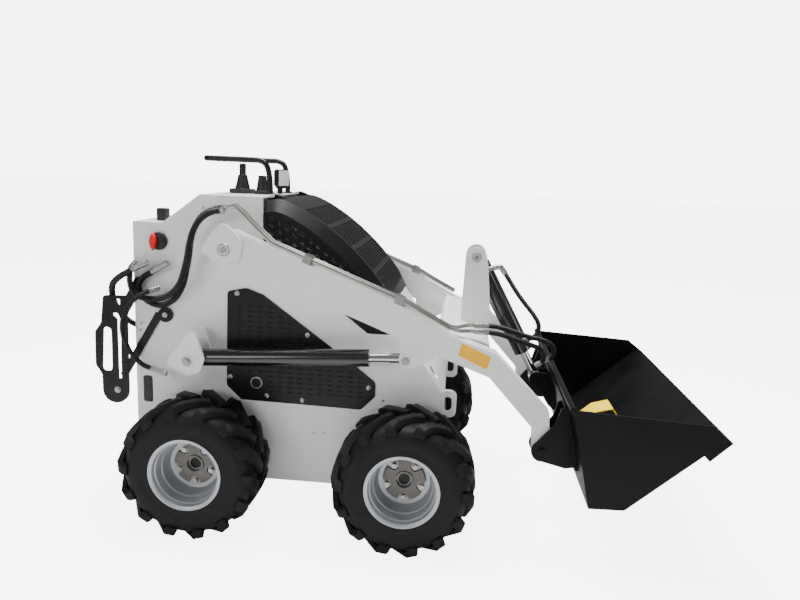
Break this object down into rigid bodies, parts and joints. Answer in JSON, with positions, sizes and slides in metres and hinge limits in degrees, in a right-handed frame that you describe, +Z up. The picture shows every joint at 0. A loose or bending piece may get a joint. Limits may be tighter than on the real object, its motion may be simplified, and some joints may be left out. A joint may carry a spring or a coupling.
{
  "type": "compact skid steer loader",
  "caption": "Compact stand-behind skid steer loader with a two-arm hydraulic lift frame, quick coupler and bucket, a hinged engine hood and free-turning wheels.",
  "frame": {"origin": "on the ground under the middle of the whole machine", "axes": "+X forward towards the bucket, +Y to the machine's left, +Z up"},
  "size_m": [2.0878, 1.089, 1.2526],
  "materials": {
    "black_paint": "satin black powder coat",
    "black_plastic": "black moulded plastic",
    "cast_steel": "dark cast steel",
    "chrome_rod": "hard chrome",
    "hose_rubber": "black hose with spiral guard",
    "red_plastic": "red moulded plastic",
    "tyre_rubber": "matt black rubber",
    "wheel_silver": "silver wheel paint",
    "white_paint": "gloss white machine paint",
    "yellow_paint": "yellow paint",
    "zinc_pipe": "zinc plated steel tube"
  },
  "bodies": {
    "chassis": {"arm_hose_left": "hose_rubber", "arm_hose_right": "hose_rubber", "arm_pivot_bracket_left": "white_paint", "arm_pivot_bracket_right": "white_paint", "battery_switch": "red_plastic", "belly_plate": "white_paint", "control_deck": "white_paint", "drive_lever": "black_plastic", "engine_block": "black_paint", "filler_cap": "black_plastic", "front_panel": "white_paint", "handle_bar": "black_paint", "lift_cylinder_bracket_left": "white_paint", "lift_cylinder_bracket_right": "white_paint", "lift_hose_left": "hose_rubber", "lift_hose_right": "hose_rubber", "rear_guard_left": "black_paint", "rear_guard_right": "black_paint", "rear_panel": "white_paint", "return_hose_left": "hose_rubber", "return_hose_right": "hose_rubber", "side_plate_left": "white_paint", "side_plate_right": "white_paint", "supply_hose_left": "hose_rubber", "supply_hose_right": "hose_rubber", "tool_lever": "black_plastic", "vent_plate_left": "black_paint", "vent_plate_right": "black_paint", "wheel_motor_front_left": "cast_steel", "wheel_motor_front_right": "cast_steel", "wheel_motor_rear_left": "cast_steel", "wheel_motor_rear_right": "cast_steel", "work_light": "black_paint"},
    "wheel_rear_right": {"rim_rear_right": "wheel_silver", "tyre_rear_right": "tyre_rubber"},
    "wheel_rear_left": {"rim_rear_left": "wheel_silver", "tyre_rear_left": "tyre_rubber"},
    "wheel_front_right": {"rim_front_right": "wheel_silver", "tyre_front_right": "tyre_rubber"},
    "wheel_front_left": {"rim_front_left": "wheel_silver", "tyre_front_left": "tyre_rubber"},
    "lift_arms": {"arm_pipes_left": "zinc_pipe", "arm_pipes_right": "zinc_pipe", "cross_member": "white_paint", "lift_arm_left": "white_paint", "lift_arm_right": "white_paint", "tilt_hose": "hose_rubber", "tool_hose": "hose_rubber", "tool_return_hose": "hose_rubber"},
    "lift_barrels": {"lift_barrel_left": "black_paint", "lift_barrel_right": "black_paint"},
    "lift_rods": {"lift_rod_left": "chrome_rod", "lift_rod_right": "chrome_rod"},
    "tilt_barrel": {"tilt_barrel": "black_paint"},
    "tilt_rod": {"tilt_rod": "chrome_rod"},
    "bucket": {"bucket": "black_paint", "bucket_bracket": "yellow_paint", "coupler": "black_paint"},
    "hood": {"hood": "black_paint"}
  },
  "joints": [
    {"name": "spin_rear_right", "type": "hinge", "parent": "chassis", "child": "wheel_rear_right", "pos_m": [-0.63505, -0.4245, 0.2325], "axis": [0, 1, 0], "continuous": true},
    {"name": "spin_rear_left", "type": "hinge", "parent": "chassis", "child": "wheel_rear_left", "pos_m": [-0.63505, 0.4245, 0.2325], "axis": [0, 1, 0], "continuous": true},
    {"name": "spin_front_right", "type": "hinge", "parent": "chassis", "child": "wheel_front_right", "pos_m": [0.06995, -0.4245, 0.2325], "axis": [0, 1, 0], "continuous": true},
    {"name": "spin_front_left", "type": "hinge", "parent": "chassis", "child": "wheel_front_left", "pos_m": [0.06995, 0.4245, 0.2325], "axis": [0, 1, 0], "continuous": true},
    {"name": "lift", "type": "hinge", "parent": "chassis", "child": "lift_arms", "pos_m": [-0.53905, 0, 0.956], "axis": [0, -1, 0], "range_deg": [-6, 65], "deforming": ["arm_hose_left", "arm_hose_right", "lift_hose_left", "lift_hose_right", "return_hose_left", "return_hose_right"]},
    {"name": "lift_cylinder_swing", "type": "hinge", "parent": "chassis", "child": "lift_barrels", "pos_m": [-0.66505, 0, 0.582], "axis": [0, -1, 0], "range_deg": [-4.6, 45.8]},
    {"name": "lift_rod_slide", "type": "slide", "parent": "lift_barrels", "child": "lift_rods", "axis": [0.9981, 0, 0.061], "range_m": [-0.0295, 0.308]},
    {"name": "bucket_tilt", "type": "hinge", "parent": "lift_arms", "child": "bucket", "pos_m": [0.50795, 0, 0.355], "axis": [0, 1, 0], "range_deg": [-3, 115]},
    {"name": "tilt_cylinder_swing", "type": "hinge", "parent": "lift_arms", "child": "tilt_barrel", "pos_m": [0.27095, 0, 0.932], "axis": [0, -1, 0], "range_deg": [-0.8, 0.2]},
    {"name": "tilt_rod_slide", "type": "slide", "parent": "tilt_barrel", "child": "tilt_rod", "axis": [0.4866, 0, -0.8736], "range_m": [-0.007, 0.222]},
    {"name": "hood_lid", "type": "hinge", "parent": "chassis", "child": "hood", "pos_m": [-0.43905, 0, 1.124], "axis": [0, -1, 0], "range_deg": [0, 55]}
  ],
  "couplings": [
    {"joint": "lift_cylinder_swing", "follows": "lift", "ratio": 0.69729},
    {"joint": "lift_rod_slide", "follows": "lift", "m_per_rad": 0.26932},
    {"joint": "tilt_cylinder_swing", "follows": "bucket_tilt", "ratio": -0.004955},
    {"joint": "tilt_rod_slide", "follows": "bucket_tilt", "m_per_rad": 0.10967}
  ]
}
